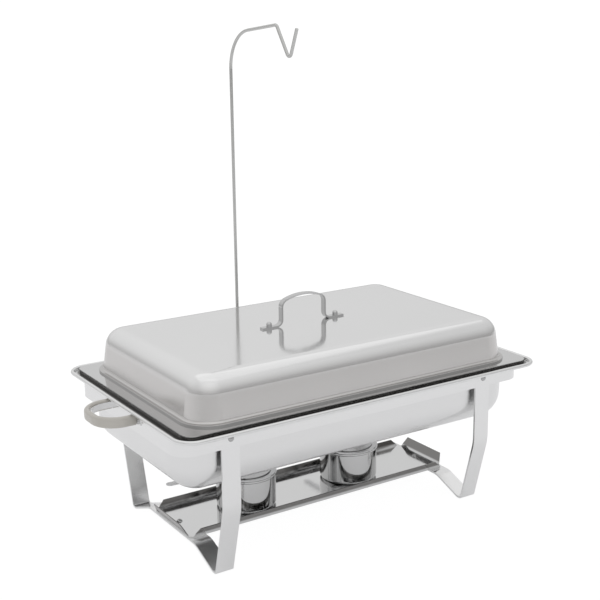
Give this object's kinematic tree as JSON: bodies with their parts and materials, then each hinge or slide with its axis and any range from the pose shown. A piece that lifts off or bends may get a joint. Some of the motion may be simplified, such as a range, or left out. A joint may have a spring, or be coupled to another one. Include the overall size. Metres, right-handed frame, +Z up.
{
  "type": "chafing dish",
  "caption": "Full-size rectangular chafing dish: lidded pan over a water pan on a bent-strip stand, with a fuel tray, fuel holders and a wire lid hanger.",
  "frame": {"origin": "middle of the overall box, side handles and hanger included, on the table under the feet", "axes": "+X to the right along the long side, +Y from the front to the back where the hanger stands, +Z up"},
  "size_m": [0.697, 0.398, 0.7258],
  "materials": {
    "stand_steel": "satin stainless steel strip",
    "tray_steel": "bright stainless steel sheet",
    "pan_steel": "polished stainless steel sheet",
    "food_pan_steel": "satin stainless steel sheet",
    "lid_steel": "mirror-polished stainless steel sheet",
    "handle_steel": "polished bent strip and acorn nuts",
    "fastener_steel": "plain bright fasteners",
    "grip_grey": "warm grey moulded grip, semi-gloss",
    "rod_chrome": "plated steel wire",
    "burner_steel": "polished stainless steel cup",
    "cover_steel": "flat stainless steel disc and handle",
    "can_aluminium": "plain drawn can"
  },
  "bodies": {
    "stand": {"stand_band": "stand_steel", "leg_frame_left": "stand_steel", "leg_frame_right": "stand_steel", "leg_bolts": "fastener_steel", "leg_nuts": "fastener_steel", "burner_tray": "tray_steel", "tray_bolts": "fastener_steel", "tray_nuts": "fastener_steel", "side_strap_left": "stand_steel", "side_strap_right": "stand_steel", "side_grip_left": "grip_grey", "side_grip_right": "grip_grey", "side_rivets_left": "fastener_steel", "side_rivets_right": "fastener_steel", "hanger_bracket": "stand_steel", "hanger_screws": "fastener_steel", "hanger_nuts": "fastener_steel"},
    "water_pan": {"water_pan": "pan_steel"},
    "food_pan": {"food_pan": "food_pan_steel"},
    "lid": {"lid_shell": "lid_steel", "lid_handle": "handle_steel", "lid_cap_nuts": "handle_steel", "lid_screws": "fastener_steel"},
    "burner_left": {"fuel_cup_left": "burner_steel", "cup_ring_left": "burner_steel", "fuel_can_left": "can_aluminium", "cover_rivet_left": "fastener_steel"},
    "cover_left": {"cover_left": "cover_steel"},
    "burner_right": {"fuel_cup_right": "burner_steel", "cup_ring_right": "burner_steel", "fuel_can_right": "can_aluminium", "cover_rivet_right": "fastener_steel"},
    "cover_right": {"cover_right": "cover_steel"},
    "hanger": {"hanger_rod": "rod_chrome"}
  },
  "joints": [
    {"name": "water_pan_lift", "type": "slide", "parent": "stand", "child": "water_pan", "axis": [0, 0, 1], "range_m": [0, 0.115]},
    {"name": "food_pan_lift", "type": "slide", "parent": "water_pan", "child": "food_pan", "axis": [0, 0, 1], "range_m": [0, 0.085]},
    {"name": "lid_lift", "type": "slide", "parent": "food_pan", "child": "lid", "axis": [0, 0, 1], "range_m": [0, 0.1]},
    {"name": "burner_left_slide", "type": "slide", "parent": "stand", "child": "burner_left", "axis": [1, 0, 0], "range_m": [-0.05, 0.03]},
    {"name": "cover_left_swing", "type": "hinge", "parent": "burner_left", "child": "cover_left", "pos_m": [-0.1408, -0.00124, 0.078], "axis": [0, 0, 1], "range_deg": [0, 110]},
    {"name": "burner_right_slide", "type": "slide", "parent": "stand", "child": "burner_right", "axis": [1, 0, 0], "range_m": [-0.03, 0.08]},
    {"name": "cover_right_swing", "type": "hinge", "parent": "burner_right", "child": "cover_right", "pos_m": [0.083, 0.031, 0.078], "axis": [0, 0, 1], "range_deg": [-110, 0]},
    {"name": "hanger_turn", "type": "hinge", "parent": "stand", "child": "hanger", "pos_m": [0, 0.193, 0.19], "axis": [0, 0, 1], "range_deg": [-180, 180]}
  ]
}
